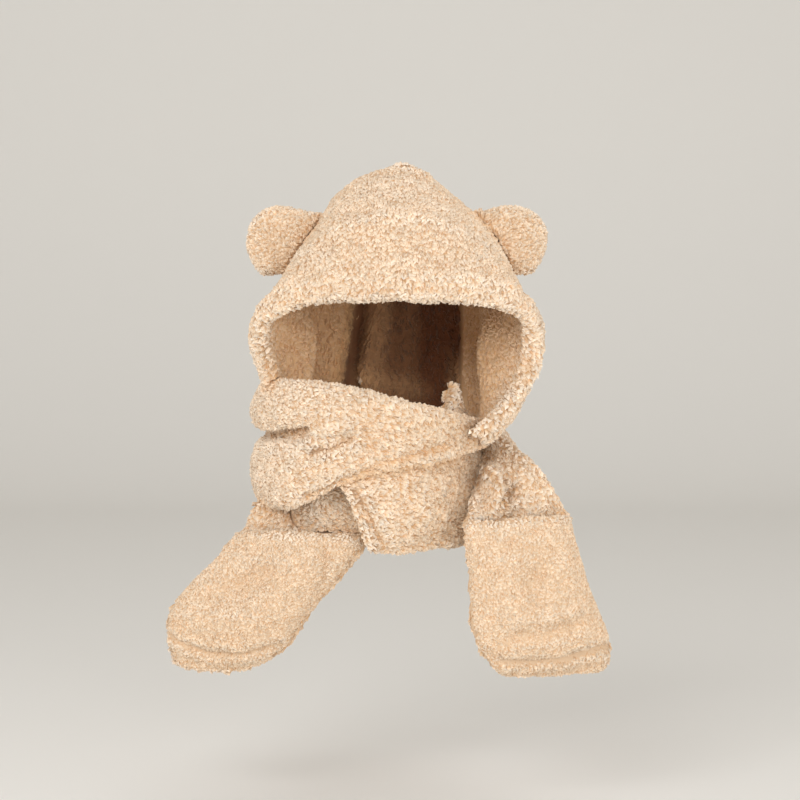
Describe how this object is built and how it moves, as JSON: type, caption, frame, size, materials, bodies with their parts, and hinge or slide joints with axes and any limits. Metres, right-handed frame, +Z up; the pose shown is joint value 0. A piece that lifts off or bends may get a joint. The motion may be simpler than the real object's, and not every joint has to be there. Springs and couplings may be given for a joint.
{
  "type": "animal hood scarf",
  "caption": "Plush hood with round stuffed ears and a pointed crown, with a scarf wound round the neck whose hanging ends are hand pockets.",
  "frame": {"origin": "where the crown of the wearer's head touches the inside of the hood", "axes": "+Z up, the face opening looks along -Y, +X to the right of someone who looks at the face opening"},
  "size_m": [0.4359, 0.2863, 0.5014],
  "materials": {
    "plush": "curly cream sherpa pile"
  },
  "bodies": {
    "root": {"hood": "plush", "right_ear": "plush", "left_ear": "plush", "outer_turn": "plush", "under_turn": "plush", "right_end": "plush", "right_pocket": "plush", "left_end": "plush", "left_pocket": "plush"}
  },
  "joints": []
}
